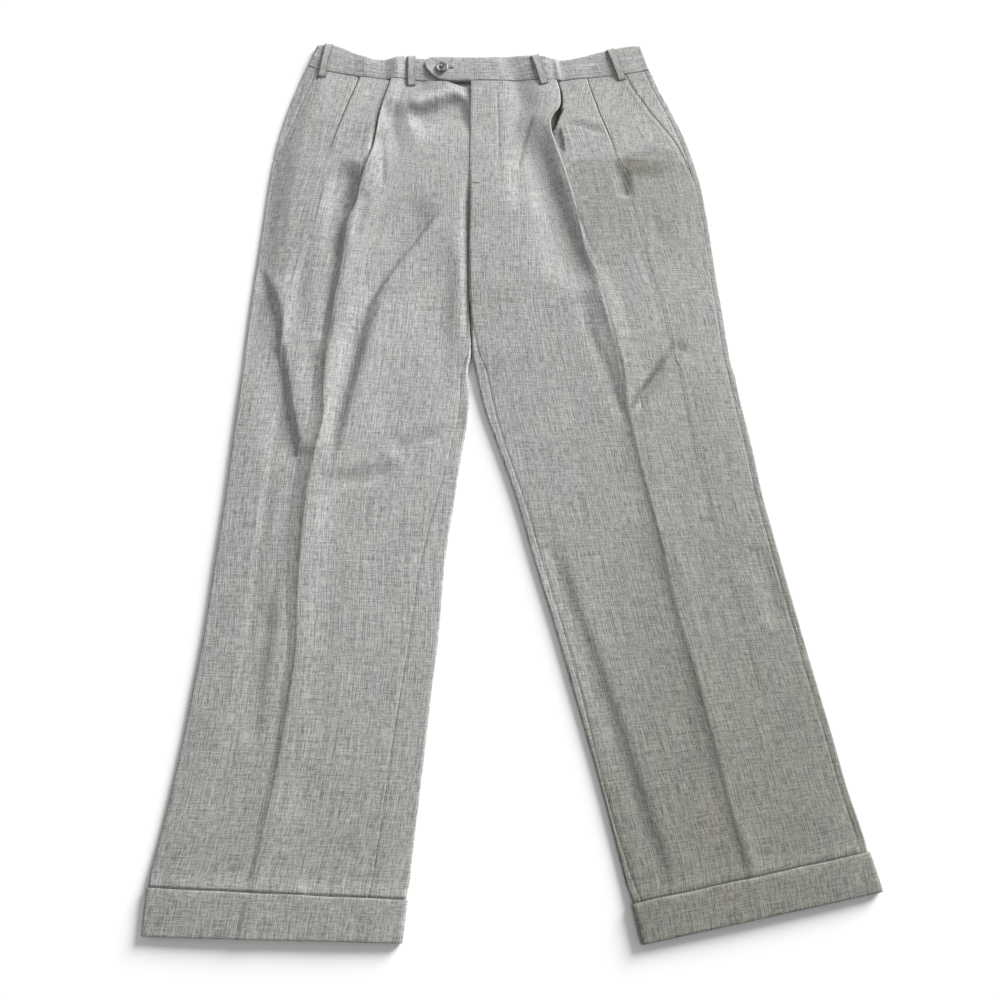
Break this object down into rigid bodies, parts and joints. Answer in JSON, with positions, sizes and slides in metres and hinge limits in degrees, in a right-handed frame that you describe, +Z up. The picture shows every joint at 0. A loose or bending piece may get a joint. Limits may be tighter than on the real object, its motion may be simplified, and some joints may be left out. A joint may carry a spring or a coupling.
{
  "type": "pleated dress trousers",
  "caption": "Pleated dress trousers with turn-up cuffs, laid flat, front up: waistband with an extended button tab and belt loops, slant pockets, reverse pleats, fly and pressed creases.",
  "frame": {"origin": "middle of the outline as laid out, on the surface it lies on", "axes": "+Z up from the surface, out of the front of the trousers; +Y towards the waist; +X towards the wearer's left"},
  "size_m": [0.7208, 1.0454, 0.0157],
  "materials": {
    "grey_wool": "grey heathered worsted wool, matt",
    "zip_tape": "dark woven tape",
    "grey_button": "four-hole button, satin"
  },
  "bodies": {
    "root": {"front_left": "grey_wool", "front_right": "grey_wool", "back_left": "grey_wool", "back_right": "grey_wool", "pocket_side_left": "grey_wool", "pocket_side_right": "grey_wool", "waistband_left": "grey_wool", "waistband_right": "grey_wool", "waist_button": "grey_button", "fly_shield": "grey_wool", "fly_zip": "zip_tape", "belt_loop_1": "grey_wool", "belt_loop_2": "grey_wool", "belt_loop_3": "grey_wool", "belt_loop_4": "grey_wool", "cuff_left": "grey_wool", "cuff_right": "grey_wool"}
  },
  "joints": []
}
